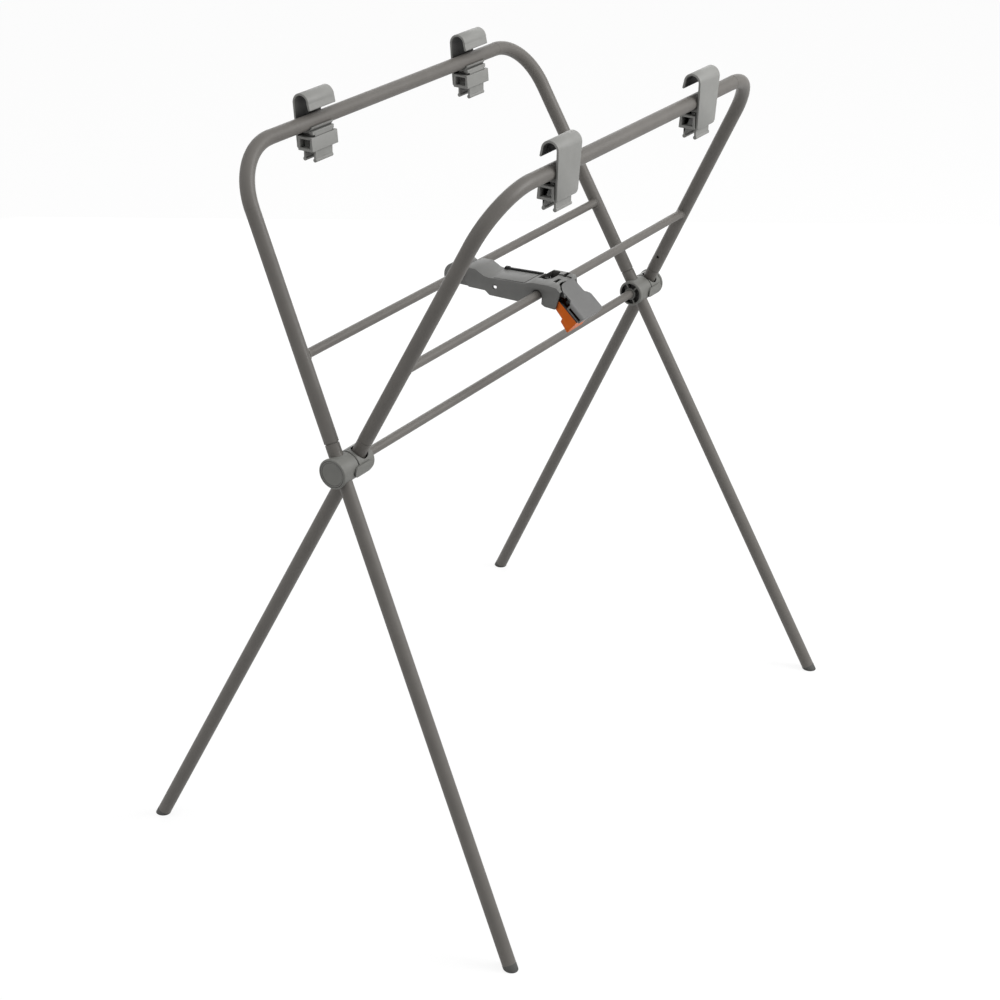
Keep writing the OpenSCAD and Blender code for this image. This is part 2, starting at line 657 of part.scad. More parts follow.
// Section of the grip across the slope, its top edges rounded
module grip_section(inset) {
  right = grip_w - arm_half - inset;
  left = -arm_half + inset;
  r = grip_r - inset;
  translate([left, -far_out]) square([right - left, far_out - grip_r]);
  translate([left + r, -far_out]) square([right - left - 2 * r, far_out - inset]);
  for (x = [left + r, right - r]) translate([x, -inset - r]) circle(r = r);
}

module grip_solid(inset, depth) intersection() {
  translate([0, 0, -depth]) linear_extrude(depth) grip_plan(inset);
  translate([0, far_out / 2, 0]) rotate([90, 0, 0]) linear_extrude(far_out) grip_section(inset);
}

module grip() color(arm_grey) at_arm() {
  difference() {
    at_grip() difference() {
      grip_solid(0, grip_depth);
      grip_solid(grip_t, grip_depth + 1);
      // The slots in the side walls, which leave a thin rail below
      translate([-far_out / 2, -grip_l + 3, -grip_depth + 1.8]) cube([far_out, grip_l - 23, 3.2]);
      // The neck has no near wall and is open towards the lever
      translate([-far_out, -17, -far_out]) cube([far_out - inner_half + 4, far_out, far_out - grip_t]);
      translate([-inner_half, -9, -far_out]) cube([2 * inner_half, far_out, far_out - grip_t]);
    }
    // The housing's roof, side walls and bulge over and beside the neck
    along_x(-far_out, far_out) polygon([
      [-bar_y - 36.3, 11.5], [-bar_y - 33, 0.2], [-bar_y - 29, -13.8], [far_out, -13.8],
      [far_out, far_out], [-bar_y - 29, far_out], [-bar_y - 29.5, roof_b - 0.4]
    ]);
  }
  // The tongue inside the housing, with its screw holes
  difference() {
    along_x(-inner_half + part_gap, inner_half - part_gap) polygon([
      [screw_y + 7, tongue_z], [screw_y + 7, tongue_z + tongue_t], [-bar_y - 35.2, tongue_z + tongue_t],
      [-bar_y - 36.8, tongue_z + 5.4], [-bar_y - 41, tongue_z + 2], [-bar_y - 41, tongue_z - 1],
      [-bar_y - 37, tongue_z]
    ]);
    for (k = [-1, 1]) translate([k * screw_x, screw_y, 0]) cylinder(d = screw_d + 0.4, h = far_out);
  }
}

module grip_screws() color(steel) at_arm() for (k = [-1, 1]) translate([k * screw_x, screw_y, tongue_z]) {
  cylinder(d = screw_d, h = 8.5);
  difference() {
    translate([0, 0, -2]) cylinder(d = screw_d + 2.6, h = 2);
    translate([0, 0, -2.1]) cylinder(d = screw_d * 0.7, h = 1.3, $fn = 6);
  }
}

// ---------------------------------------------------------------- release lever

// The lever's side: round the pin, then down under the grip to its deep end
module lever_side(inset) polygon([
  [pin_y + 3.5 - inset, pin_z - 5.5], [pin_y + 3.5 - inset, pin_z + 2.5],
  [pin_y - 1, pin_z + 4.6], [pin_y - 11.5, pin_z + 1],
  [pin_y - 33.9 + inset, pin_z - 18.1 - inset], [pin_y - 34.1 + inset, pin_z - 19],
  [pin_y - 21.4, pin_z - 33.4 + inset], [pin_y - 20, pin_z - 36.4 + inset],
  [pin_y - 18.1 - inset, pin_z - 36.9 + inset], [pin_y - 8.2 - inset, pin_z - 23.8],
  [pin_y - 10.2 - inset, pin_z - 19.3], [pin_y - 1 - inset, pin_z - 9]
]);

// The room inside the lever, open towards the grip
module lever_room() {
  t = lever_t;
  polygon([
    [pin_y + 30, pin_z + 30], [pin_y + 30, pin_z - 2], [pin_y + 2, pin_z - 6.6 + t],
    [pin_y - 2, pin_z - 9.4 + t], [pin_y - 1 - 0.75 * t, pin_z - 9 + 0.66 * t],
    [pin_y - 10.2 - 1.1 * t, pin_z - 19.3 + 0.2 * t], [pin_y - 8.2 - 1.1 * t, pin_z - 23.8 + 0.15 * t],
    [pin_y - 18.1 - 0.4 * t, pin_z - 36.9 + 1.1 * t], [pin_y - 21.4 + 0.75 * t, pin_z - 33.4 + 0.6 * t],
    [pin_y - 34.1 + 0.8 * t, pin_z - 19 + 0.6 * t], [pin_y - 34.1 + 0.8 * t, pin_z + 30]
  ]);
}

module release_lever() color(lever_orange) at_arm() difference() {
  union() {
    difference() {
      along_x(-lever_half, lever_half) lever_side(0);
      along_x(-lever_half + lever_t, lever_half - lever_t) lever_room();
    }
    // Two inner cheeks and the catch between them
    for (k = [-1, 1]) flip_x(k) along_x(catch_w / 2 - lever_t, catch_w / 2) lever_side(0.5);
    along_x(-catch_w / 2, catch_w / 2) difference() {
      polygon([
        [pin_y + 1, pin_z + 4], [-bar_y - 14, -2.5], [-bar_y - 6, -1.5], [-bar_y - 2.1, -5],
        [-bar_y - 2.1, -8.5], [-bar_y - 6, -11], [pin_y + 1, pin_z - 8]
      ]);
      translate([-bar_y, 0]) circle(r = bar_d / 2 + catch_gap);
    }
  }
  along_x(-far_out, far_out) translate([pin_y, pin_z]) circle(r = pin_d / 2 + running);
}

module lever_pin() color(steel) at_arm() translate([0, pin_y, pin_z]) rotate([0, 90, 0]) rotate_extrude() polygon([
  [0, -pin_half], [pin_d / 2 - 0.4, -pin_half], [pin_d / 2, -pin_half + 0.4],
  [pin_d / 2, pin_half - 0.4], [pin_d / 2 - 0.4, pin_half], [0, pin_half]
]);

// The close-wound return spring round the pin, on both sides of the catch. Its
// inner ends stand under the tongue and its outer ends press on the lever.
module lever_spring() color(steel) at_arm() translate([0, pin_y, pin_z]) {
  first = catch_w / 2 + 1;
  out = spring_r + wire_d / 2;
  dip = wire_d / 4;
  for (k = [-1, 1]) flip_x(k) translate([first, 0, 0]) {
    rotate([0, 90, 0]) rotate_extrude() polygon(concat(
      [[out - wire_d, wire_d * turns], [out - wire_d, 0]],
      [for (n = [0:turns - 1], p = [[dip, 0], [0, dip], [0, wire_d - dip]]) [out - p[0], wire_d * n + p[1]]],
      [[out - dip, wire_d * turns]]
    ));
    translate([wire_d / 2, spring_r, 0]) cylinder(d = wire_d * 0.9, h = tongue_z - pin_z);
    translate([wire_d * (turns - 0.5), -spring_r, -6.8]) cylinder(d = wire_d * 0.9, h = 6.8);
  }
}

// ---------------------------------------------------------------- the nodes

upper_frame(false);  // upper_frame_a
turned() upper_frame(true);  // upper_frame_b
cross_bar();  // cross_bar_a
turned() cross_bar();  // cross_bar_b
leg(-1);  // leg_a_near
leg(1);  // leg_a_far
turned() leg(1);  // leg_b_near
turned() leg(-1, true);  // leg_b_far
foot_caps();  // foot_caps_a
turned() foot_caps();  // foot_caps_b
at_hub(-1) hub_outer(0);  // hub_a_near
at_hub(1) hub_inner(0);  // hub_a_far
turned() at_hub(1) hub_inner(face_gap);  // hub_b_near
turned() at_hub(-1) hub_outer(face_gap);  // hub_b_far
at_hub(-1) hub_cap();  // hub_cap_near
at_hub(1) hub_cap();  // hub_cap_far
at_hub(-1) pivot_washer();  // pivot_washer_near
at_hub(1) pivot_washer();  // pivot_washer_far
axle_tube();
axle_inserts();
at_hub(-1) pivot_bolt(0);  // pivot_bolt_near
at_hub(1) pivot_bolt(face_gap);  // pivot_bolt_far
at_clip(-1) hook();  // hook_a_near
at_clip(1) hook();  // hook_a_far
turned() at_clip(1) hook();  // hook_b_near
turned() at_clip(-1) hook();  // hook_b_far
at_clip(-1) jaw();  // jaw_a_near
at_clip(1) jaw();  // jaw_a_far
turned() at_clip(1) jaw();  // jaw_b_near
turned() at_clip(-1) jaw();  // jaw_b_far
at_clip(-1) sleeve();  // sleeve_a_near
at_clip(1) sleeve();  // sleeve_a_far
turned() at_clip(1) sleeve();  // sleeve_b_near
turned() at_clip(-1) sleeve();  // sleeve_b_far
lock_arm();
arm_strip();
grip();
grip_screws();
release_lever();
lever_pin();
lever_spring();
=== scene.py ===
"""Baby bath stand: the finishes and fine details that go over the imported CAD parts."""

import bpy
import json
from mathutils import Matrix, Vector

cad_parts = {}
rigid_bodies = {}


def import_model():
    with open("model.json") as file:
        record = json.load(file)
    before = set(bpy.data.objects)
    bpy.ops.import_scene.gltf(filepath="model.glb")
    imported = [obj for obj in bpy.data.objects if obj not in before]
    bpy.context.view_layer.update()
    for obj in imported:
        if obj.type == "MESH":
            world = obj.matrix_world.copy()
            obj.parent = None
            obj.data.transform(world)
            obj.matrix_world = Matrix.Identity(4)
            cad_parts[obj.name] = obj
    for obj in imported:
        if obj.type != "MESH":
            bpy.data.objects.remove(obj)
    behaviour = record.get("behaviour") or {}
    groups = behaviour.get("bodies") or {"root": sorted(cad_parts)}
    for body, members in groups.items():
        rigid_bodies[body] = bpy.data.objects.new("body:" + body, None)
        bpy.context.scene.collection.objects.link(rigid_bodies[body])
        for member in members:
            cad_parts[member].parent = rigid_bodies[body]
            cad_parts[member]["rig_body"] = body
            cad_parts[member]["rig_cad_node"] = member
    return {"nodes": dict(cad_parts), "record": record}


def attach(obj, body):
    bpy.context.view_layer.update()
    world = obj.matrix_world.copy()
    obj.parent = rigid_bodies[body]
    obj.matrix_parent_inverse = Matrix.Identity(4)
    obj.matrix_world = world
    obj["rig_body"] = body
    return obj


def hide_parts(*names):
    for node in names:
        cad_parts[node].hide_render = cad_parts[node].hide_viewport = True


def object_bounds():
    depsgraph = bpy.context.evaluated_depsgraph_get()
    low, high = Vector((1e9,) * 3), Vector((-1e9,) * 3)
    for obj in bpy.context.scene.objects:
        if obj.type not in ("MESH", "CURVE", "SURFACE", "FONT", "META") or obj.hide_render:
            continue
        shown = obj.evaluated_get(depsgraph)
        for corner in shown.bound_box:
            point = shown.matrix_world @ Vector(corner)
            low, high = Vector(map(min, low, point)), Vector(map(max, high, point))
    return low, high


bl_info = {
    "name": "Baby Bath Stand",
    "version": (1, 0, 0),
    "blender": (4, 5, 0),
    "location": "View3D > Sidebar > Bath Stand",
    "description": "Builds the finished look of a folding baby bath stand over its CAD frame",
    "category": "Object",
}

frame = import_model()
CAD_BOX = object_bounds()

import json
import math

import bpy
from bpy.props import FloatProperty, FloatVectorProperty, PointerProperty
from mathutils import Matrix, Vector

MM = 0.001
UPWARDS = Vector((0.0, 0.0, 1.0))
CORNERS = [side + "_" + end for side in ("a", "b") for end in ("near", "far")]
NODE_BODY = {
    node: body
    for body, members in frame["record"]["behaviour"]["bodies"].items()
    for node in members
}


def from_screen(red, green, blue):
    """A colour written as screen values from 0 to 255, as the linear values Blender works in."""
    def linear(value):
        share = value / 255
        return share / 12.92 if share <= 0.04045 else ((share + 0.055) / 1.055) ** 2.4
    return (linear(red), linear(green), linear(blue))


def colour_property(label, description, screen):
    """A colour setting whose default is written as screen values."""
    return FloatVectorProperty(
        name=label, description=description, subtype="COLOR", size=3,
        min=0.0, max=1.0, default=from_screen(*screen),
    )


# ------------------------------------------------------------------ settings


class BathStandColours(bpy.types.PropertyGroup):
    tube: colour_property("Tubes", "Powder coat on the steel tubes", (98, 95, 91))
    hub: colour_property("Hubs", "Moulded halves of the fold joints", (107, 107, 103))
    clip: colour_property("Bath clips", "Moulded hooks, jaws and sleeves", (130, 130, 127))
    arm: colour_property("Lock arm", "Moulded arm that holds the stand open", (105, 105, 103))
    grip: colour_property("Grip", "Paddle at the arm's end", (98, 98, 97))
    lever: colour_property("Release lever", "Squeeze lever under the grip", (208, 96, 6))
    strip: colour_property("Arm strip", "Dark strip along the arm's far edge", (30, 30, 30))
    foot: colour_property("Foot caps", "Rubbery plugs in the legs' lower ends", (76, 76, 74))
    steel: colour_property("Steel", "Bright zinc on bolts, pins and springs", (176, 178, 180))


class BathStandSizes(bpy.types.PropertyGroup):
    edge: FloatProperty(
        name="Moulded edge", description="Radius on the edges of the moulded parts",
        default=0.45 * MM, min=0.1 * MM, max=1.0 * MM, unit="LENGTH", precision=5,
    )
    thin_edge: FloatProperty(
        name="Thin edge", description="Radius on the edges of thin moulded walls",
        default=0.3 * MM, min=0.1 * MM, max=0.6 * MM, unit="LENGTH", precision=5,
    )
    weld: FloatProperty(
        name="Weld bead", description="Half the width of the beads round the cross bars' ends",
        default=1.3 * MM, min=0.6 * MM, max=2.0 * MM, unit="LENGTH", precision=5,
    )
    foot_edge: FloatProperty(
        name="Foot edge", description="Radius on the edge by which a foot stands on the floor",
        default=1.8 * MM, min=0.5 * MM, max=3.0 * MM, unit="LENGTH", precision=5,
    )
    wire: FloatProperty(
        name="Spring wire", description="Thickness of the lever spring's wire",
        default=1.1 * MM, min=0.8 * MM, max=1.2 * MM, unit="LENGTH", precision=5,
    )


class BathStandStage(bpy.types.PropertyGroup):
    sky: FloatProperty(
        name="Sky", description="Strength of the soft light from straight above",
        default=1.1, min=0.0, max=2.0,
    )
    horizon: FloatProperty(
        name="Horizon", description="Strength of the soft light from the sides",
        default=0.3, min=0.0, max=2.0,
    )
    key: FloatProperty(
        name="Key lamp", description="Power of the large lamp on the right",
        default=60.0, min=0.0, max=400.0, unit="POWER",
    )
    back: FloatProperty(
        name="Back lamp", description="Power of the large lamp behind the stand",
        default=26.0, min=0.0, max=400.0, unit="POWER",
    )
    fill: FloatProperty(
        name="Fill lamp", description="Power of the large lamp on the left",
        default=8.0, min=0.0, max=400.0, unit="POWER",
    )


def colours():
    return bpy.context.scene.bath_stand_colours


def sizes():
    return bpy.context.scene.bath_stand_sizes


def stage_settings():
    return bpy.context.scene.bath_stand_stage


# ----------------------------------------------------------------- materials


MIX_COLOURS = slice(6, 8)
MIX_RESULT = 2
HOLLOW_SAMPLES = 12
EDGE_SAMPLES = 6
SOFT_EDGE = 0.55 * MM


class Finish:
    """A node material being put together: one principled shader and what feeds it."""

    def __init__(self, name):
        self.material = bpy.data.materials.new(name)
        self.material.use_nodes = True
        self.nodes = self.material.node_tree.nodes
        self.links = self.material.node_tree.links
        self.nodes.clear()
        self.out = self.nodes.new("ShaderNodeOutputMaterial")
        self.shader = self.nodes.new("ShaderNodeBsdfPrincipled")
        self.links.new(self.shader.outputs["BSDF"], self.out.inputs["Surface"])
        self.place = self.nodes.new("ShaderNodeTexCoord").outputs["Object"]

    def set(self, **values):
        for socket, value in values.items():
            self.shader.inputs[socket.replace("_", " ")].default_value = value

    def feed(self, socket, value):
        self.links.new(value, self.shader.inputs[socket])

    def noise(self, scale, detail=3.0, rough=0.5):
        noise = self.nodes.new("ShaderNodeTexNoise")
        noise.inputs["Scale"].default_value = scale
        noise.inputs["Detail"].default_value = detail
        noise.inputs["Roughness"].default_value = rough
        self.links.new(self.place, noise.inputs["Vector"])
        return noise.outputs["Fac"]

    def cells(self, scale):
        cells = self.nodes.new("ShaderNodeTexVoronoi")
        cells.inputs["Scale"].default_value = scale
        self.links.new(self.place, cells.inputs["Vector"])
        return cells.outputs["Distance"]

    def openness(self, reach):
        """How open a place is: 1 on open faces, towards 0 deep in a hollow. It sets where shade is
        painted into the colour.
        """
        around = self.nodes.new("ShaderNodeAmbientOcclusion")
        around.inputs["Distance"].default_value = reach
        around.samples = HOLLOW_SAMPLES
        return around.outputs["AO"]

    def ranged(self, value, low, high, start=0.3, end=0.7):
        """The value from start to end spread over low to high."""
        ranged = self.nodes.new("ShaderNodeMapRange")
        ranged.inputs["From Min"].default_value = start
        ranged.inputs["From Max"].default_value = end
        ranged.inputs["To Min"].default_value = low
        ranged.inputs["To Max"].default_value = high
        self.links.new(value, ranged.inputs["Value"])
        return ranged.outputs["Result"]

    def mixed(self, share, first, second):
        """A colour from first to second, each of them a plain colour or another node's."""
        mix = self.nodes.new("ShaderNodeMix")
        mix.data_type = "RGBA"
        self.links.new(share, mix.inputs["Factor"])
        for socket, value in zip(mix.inputs[MIX_COLOURS], (first, second)):
            if isinstance(value, tuple):
                socket.default_value = (*value, 1.0)
            else:
                self.links.new(value, socket)
        return mix.outputs[MIX_RESULT]

    def soft_edges(self, radius):
        """The surface's normal with its edges softened by this radius."""
        soft = self.nodes.new("ShaderNodeBevel")
        soft.samples = EDGE_SAMPLES
        soft.inputs["Radius"].default_value = radius
        return soft.outputs["Normal"]

    def bumps(self, *layers, normal=None):
        """Bump nodes in a row, each with its height, depth in metres and strength."""
        for height, depth, strength in layers:
            bump = self.nodes.new("ShaderNodeBump")
            bump.inputs["Distance"].default_value = depth
            bump.inputs["Strength"].default_value = strength
            self.links.new(height, bump.inputs["Height"])
            if normal:
                self.links.new(normal, bump.inputs["Normal"])
            normal = bump.outputs["Normal"]
        self.feed("Normal", normal)


def shade(colour, amount):
    """The colour made lighter (above 1) or darker (below 1)."""
    return tuple(min(1.0, channel * amount) for channel in colour)


def powder_coat():
    """Satin powder coat with orange peel, a little metal flake and faint scuffs."""
    coat = Finish("powder_coat")
    base = tuple(colours().tube)
    flake = coat.noise(5200.0, detail=2.0, rough=0.6)
    cloud = coat.ranged(coat.noise(38.0, detail=4.0), 0.0, 1.0)
    toned = coat.mixed(cloud, shade(base, 0.94), shade(base, 1.05))
    shown_flake = coat.ranged(flake, 0.0, 0.45, start=0.58, end=0.74)
    coat.feed("Base Color", coat.mixed(shown_flake, toned, shade(base, 1.7)))
    scuff = coat.noise(9.0, detail=6.0, rough=0.65)
    coat.feed("Roughness", coat.ranged(scuff, 0.44, 0.54, start=0.35, end=0.7))
    coat.set(Metallic=0.0, Specular_IOR_Level=0.32)
    orange_peel = coat.noise(900.0, detail=2.0)
    coat.bumps((orange_peel, 0.05 * MM, 0.35), (flake, 0.01 * MM, 0.2))
    return coat.material


def moulded(name, colour, rough, grain, depth, deep=0.3, reach=14.0, clouds=55.0, shine=0.45):
    """Moulded plastic with a spark-eroded grain, the faint clouding of pigment and painted shade in its
    hollows.

    rough is the least and the most roughness. grain is how fine the grain is and depth how deep.
    In a hollow, as wide as reach in mm, shade is painted in: the colour goes down to its share deep.
    """
    plastic = Finish(name)
    cloud = plastic.ranged(plastic.noise(clouds, detail=4.0, rough=0.55), 0.0, 1.0)
    toned = plastic.mixed(cloud, shade(colour, 0.955), shade(colour, 1.04))
    # painted shade: the colour darkens in hollows, where shade falls
    unshaded_share = plastic.ranged(plastic.openness(reach * MM), 0.0, 1.0, start=0.25, end=0.85)
    plastic.feed("Base Color", plastic.mixed(unshaded_share, shade(colour, deep), toned))
    plastic.feed("Roughness", plastic.ranged(plastic.noise(24.0, detail=5.0, rough=0.6), *rough))
    plastic.set(Metallic=0.0, Specular_IOR_Level=shine)
    coarse = plastic.cells(grain * 0.55)
    fine = plastic.noise(grain, rough=0.6)
    plastic.bumps((coarse, depth, 0.25), (fine, depth, 0.4), normal=plastic.soft_edges(SOFT_EDGE))
    return plastic.material


def zinc():
    """Bright zinc plate, brushed by handling, with a faint bloom."""
    metal = Finish("bright_zinc")
    base = tuple(colours().steel)
    bloom = metal.ranged(metal.noise(160.0, detail=5.0, rough=0.6), 0.0, 1.0)
    metal.feed("Base Color", metal.mixed(bloom, shade(base, 0.85), base))
    metal.feed("Roughness", metal.ranged(metal.noise(700.0), 0.22, 0.4))
    metal.set(Metallic=1.0)
    metal.bumps((metal.noise(2200.0, detail=2.0), 0.02 * MM, 0.3))
    return metal.material


NYLON = {"rough": (0.46, 0.6), "grain": 2600.0, "depth": 0.03 * MM}
ARM_NYLON = {"rough": (0.45, 0.6), "grain": 2400.0, "depth": 0.03 * MM}
GRIP_NYLON = {"rough": (0.42, 0.56), "grain": 2100.0, "depth": 0.04 * MM}
LEVER_NYLON = {"rough": (0.38, 0.5), "grain": 3000.0, "depth": 0.02 * MM}
DULL_NYLON = {"rough": (0.5, 0.65), "grain": 2400.0, "depth": 0.03 * MM}
# surface of the near-black painted shadow
PAINTED_SHADOW_SURFACE = {"rough": (0.5, 0.65), "grain": 2400.0, "depth": 0.02 * MM}
RUBBER = {"rough": (0.62, 0.78), "grain": 1500.0, "depth": 0.05 * MM}
ACETAL = {"rough": (0.35, 0.5), "grain": 3000.0, "depth": 0.01 * MM}

# painted shade: dark grey for recesses and gaps that lie in shade
PAINTED_SHADE_COLOUR = from_screen(50, 49, 47)
# painted shadow: near black for places deep in shadow
PAINTED_SHADOW_COLOUR = from_screen(14, 13, 12)
ACETAL_COLOUR = from_screen(206, 205, 198)


def make_materials():
    """Every finish on the stand, by the short name that the pieces ask for."""
    tone = colours()
    # Each moulded finish paints shade into its hollows, as dark as deep and as wide as reach.
    return {
        "tube": powder_coat(),
        "hub": moulded("hub_nylon", tuple(tone.hub), **NYLON),
        "clip": moulded("clip_nylon", tuple(tone.clip), **NYLON, deep=0.02, reach=30.0),
        "jaw": moulded("jaw_nylon", tuple(tone.clip), **NYLON, reach=9.0),
        "arm": moulded("arm_nylon", tuple(tone.arm), **ARM_NYLON, deep=0.04, reach=26.0),
        "grip": moulded("grip_nylon", tuple(tone.grip), **GRIP_NYLON, deep=0.04, reach=26.0),
        "lever": moulded(
            "lever_orange", tuple(tone.lever), **LEVER_NYLON, deep=0.12, reach=45.0, shine=0.25,
        ),
        # painted shade, dark grey, for the arm's opening and the caps' rims
        "hollow": moulded("arm_hollow", PAINTED_SHADE_COLOUR, **DULL_NYLON),
        # painted shadow, near black, in the hubs' tube gaps, the grip's neck, the lever's top and the
        # spring
        "inside": moulded("lever_inside", PAINTED_SHADOW_COLOUR, **PAINTED_SHADOW_SURFACE),
        "strip": moulded("strip_black", tuple(tone.strip), **DULL_NYLON),
        "foot": moulded("foot_rubber", tuple(tone.foot), **RUBBER, clouds=90.0),
        "steel": zinc(),
        "washer": moulded("washer_acetal", ACETAL_COLOUR, **ACETAL),
    }


MATERIALS = {}


def finish_of(key):
    """The material of this short name. All of them are made when the first is asked for."""
    if not MATERIALS:
        MATERIALS.update(make_materials())
    return MATERIALS[key]


def paint(obj, key):
    """Gives a piece this finish alone."""
    obj.data.materials.clear()
    obj.data.materials.append(finish_of(key))


def darken(obj, key, wanted):
    """Paints shade onto a piece: a darker finish on those faces of which wanted is true."""
    slot = len(obj.data.materials)
    obj.data.materials.append(finish_of(key))
    for face in obj.data.polygons:
        if wanted(face):
            face.material_index = slot


# ------------------------------------------------------------ modelling tools

MERGE_BELOW = 0.002 * MM
FLAT_WITHIN = math.radians(0.6)
SMOOTH_BELOW = 35.0
SHARP_ABOVE = 30.0
ROOM = 2.2


def only(obj):
    """Selects this object and nothing else."""
    bpy.ops.object.select_all(action="DESELECT")
    obj.select_set(True)
    bpy.context.view_layer.objects.active = obj


def active():
    """The object just added."""
    return bpy.context.view_layer.objects.active


def edit_all(obj):
    """Goes to edit mode with all of a piece selected."""
    only(obj)
    bpy.ops.object.mode_set(mode="EDIT")
    bpy.ops.mesh.select_all(action="SELECT")


def apply_place(obj):
    """Moves an object's place, turn and scale into its mesh."""
    only(obj)
    bpy.ops.object.transform_apply(location=True, rotation=True, scale=True)


def smooth(obj, degrees=SMOOTH_BELOW):
    """Smooth shading over edges flatter than this."""
    only(obj)
    bpy.ops.object.shade_smooth_by_angle(angle=math.radians(degrees))


def clean(obj):
    """Merges doubled corners and joins each flat face's triangles into one."""
    edit_all(obj)
    bpy.ops.mesh.remove_doubles(threshold=MERGE_BELOW)
    bpy.ops.mesh.dissolve_limited(angle_limit=FLAT_WITHIN)
    bpy.ops.object.mode_set(mode="OBJECT")


def cylinder(sides, radius, depth, place, turn):
    """A plain cylinder about this place, turned by these angles."""
    bpy.ops.object.select_all(action="DESELECT")
    bpy.ops.mesh.primitive_cylinder_add(
        vertices=sides, radius=radius, depth=depth, location=place, rotation=turn,
    )
    obj = active()
    apply_place(obj)
    return obj


def copied(node, name):
    """A copy of a CAD node with its corners merged and its flat faces joined into one each."""
    only(frame["nodes"][node])
    bpy.ops.object.duplicate()
    obj = active()
    bpy.ops.object.parent_clear(type="CLEAR_KEEP_TRANSFORM")
    obj.name = obj.data.name = name
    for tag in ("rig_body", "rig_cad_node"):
        del obj[tag]
    bpy.ops.mesh.customdata_custom_splitnormals_clear()
    clean(obj)
    return obj


def pick_edges(obj, wanted):
    """Drops those picked edges of which wanted is not true."""
    bpy.ops.object.mode_set(mode="OBJECT")
    points = obj.data.vertices
    for edge in obj.data.edges:
        edge.select = edge.select and wanted(*(points[i].co for i in edge.vertices))
    bpy.ops.object.mode_set(mode="EDIT")


def pick_roomy(obj, radius, room):
    """Drops those picked edges at whose ends an edge is shorter than room times the radius."""
    bpy.ops.object.mode_set(mode="OBJECT")
    points = obj.data.vertices
    shortest = {}
    for edge in obj.data.edges:
        first, second = edge.vertices
        length = (points[first].co - points[second].co).length
        for end in edge.vertices:
            shortest[end] = min(length, shortest.get(end, length))
    for face in obj.data.polygons:
        face.select = False
    for edge in obj.data.edges:
        edge.select = edge.select and min(shortest[end] for end in edge.vertices) > room * radius
    for point in points:
        point.select = False
    for edge in obj.data.edges:
        if edge.select:
            for end in edge.vertices:
                points[end].select = True
    bpy.ops.object.mode_set(mode="EDIT")


def pick_points(obj, wanted):
    """Goes to edit mode with those points selected of which wanted is true."""
    only(obj)
    bpy.ops.object.mode_set(mode="EDIT")
    bpy.ops.mesh.select_mode(type="VERT")
    bpy.ops.mesh.select_all(action="DESELECT")
    bpy.ops.object.mode_set(mode="OBJECT")
    for point in obj.data.vertices:
        point.select = wanted(point)
    bpy.ops.object.mode_set(mode="EDIT")


def round_edges(obj, radius, degrees=SHARP_ABOVE, segments=2, wanted=None, room=ROOM):
    """Rounds the edges that are sharper than this, or those of them that wanted picks.

    With no room asked for, every such edge is rounded, as far as its neighbours allow.
    """
    only(obj)
    bpy.ops.object.mode_set(mode="EDIT")
    bpy.ops.mesh.select_mode(type="EDGE")
    bpy.ops.mesh.select_all(action="DESELECT")
    bpy.ops.mesh.edges_select_sharp(sharpness=math.radians(degrees))
    if wanted:
        pick_edges(obj, wanted)
    pick_roomy(obj, radius, room)
    bpy.ops.mesh.bevel(offset=radius, segments=segments, affect="EDGES", clamp_overlap=not room)
    bpy.ops.object.mode_set(mode="OBJECT")


def cut(obj, cutter):
    """Cuts the cutter's shape out of a piece and deletes the cutter."""
    edit_all(obj)
    bpy.ops.mesh.quads_convert_to_tris()
    bpy.ops.object.mode_set(mode="OBJECT")
    boolean = obj.modifiers.new("cut", "BOOLEAN")
    boolean.object = cutter
    boolean.solver = "EXACT"
    bpy.ops.object.modifier_apply(modifier="cut")
    bpy.data.objects.remove(cutter, do_unlink=True)
    clean(obj)


def rounded_part(node, key, radius, room=ROOM):
    """A moulded CAD part with its sharp edges rounded. It stands for the node and rides with it."""
    obj = copied(node, node + "_moulded")
    round_edges(obj, radius, room=room)
    return finished(obj, key, node)


def finished(obj, key, node):
    """Smooths and paints a piece that stands for a node, and lets it ride with the node's body."""
    smooth(obj)
    paint(obj, key)
    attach(obj, NODE_BODY[node])
    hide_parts(node)
    return obj


def finish_nodes(key, *nodes):
    """CAD nodes that keep their own mesh and take a finish."""
    for node in nodes:
        paint(frame["nodes"][node], key)


# ---------------------------------------------------------------------- tubes

LEAN = math.atan(0.5)
SPLAY = math.radians(5.9)
BAR_FROM_AXIS = 144.23 * MM
AXIS_HEIGHT = 0.59
TUBE_R = 9.5 * MM
BEAD_R = 6.5 * MM
BEAD_SLICES = 56
BEAD_SIDES = 10
BEAD_RIPPLE = 0.14
BEAD_SMOOTH_BELOW = 60.0
LEG_AT_BAR = {"near": -370.6 * MM, "far": 342.6 * MM}


def weld_bead():
    """A rippled bead of weld round a bar that meets a leg. The leg's axis is Z and the bar is at +X."""
    bpy.ops.object.select_all(action="DESELECT")
    bpy.ops.mesh.primitive_torus_add(
        major_radius=BEAD_R, minor_radius=sizes().weld,
        major_segments=BEAD_SLICES, minor_segments=BEAD_SIDES,
        location=(TUBE_R, 0.0, 0.0), rotation=(0.0, math.pi / 2, 0.0),
    )
    bead = active()
    apply_place(bead)
    for number in range(BEAD_SLICES):
        pick_points(bead, lambda point: point.index // BEAD_SIDES == number)
        bpy.ops.object.mode_set(mode="OBJECT")
        ring = [point.co for point in bead.data.vertices if point.select]
        middle = sum(ring, Vector()) / len(ring)
        sink = math.sqrt(TUBE_R ** 2 - middle.y ** 2) - TUBE_R
        bpy.ops.object.mode_set(mode="EDIT")
        swell = 1.0 + BEAD_RIPPLE * math.sin(number * math.pi / 2)
        bpy.ops.transform.resize(value=(swell, swell, swell), center_override=middle)
        bpy.ops.transform.translate(value=(sink, 0.0, 0.0))
        bpy.ops.object.mode_set(mode="OBJECT")
    return bead


